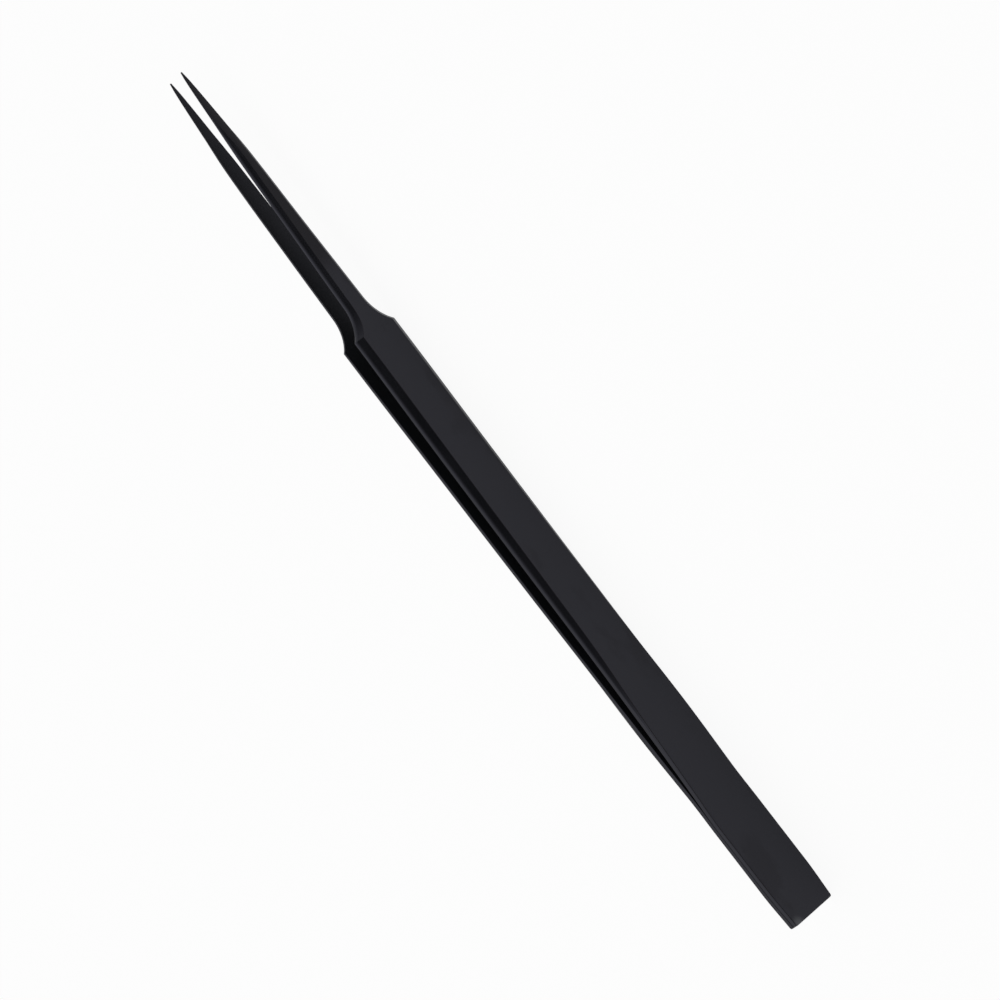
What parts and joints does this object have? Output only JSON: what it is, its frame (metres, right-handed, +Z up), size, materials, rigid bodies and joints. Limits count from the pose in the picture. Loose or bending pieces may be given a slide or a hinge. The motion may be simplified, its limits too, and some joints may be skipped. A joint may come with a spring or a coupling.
{
  "type": "needle-point tweezers",
  "caption": "Slender needle-point tweezers: flat spring arms with bevelled grips and hollow shoulders, welded together at the tail.",
  "frame": {"origin": "under the middle of the length, midway between the arms, on the surface the tweezers lie on", "axes": "+X from the tail to the points, +Y from the front arm to the back arm, +Z up across the arms' width"},
  "size_m": [0.14, 0.0048, 0.009],
  "materials": {
    "front_arm": "satin black coating",
    "back_arm": "satin black coating"
  },
  "bodies": {
    "root": {"front_arm": "front_arm", "back_arm": "back_arm"}
  },
  "joints": []
}
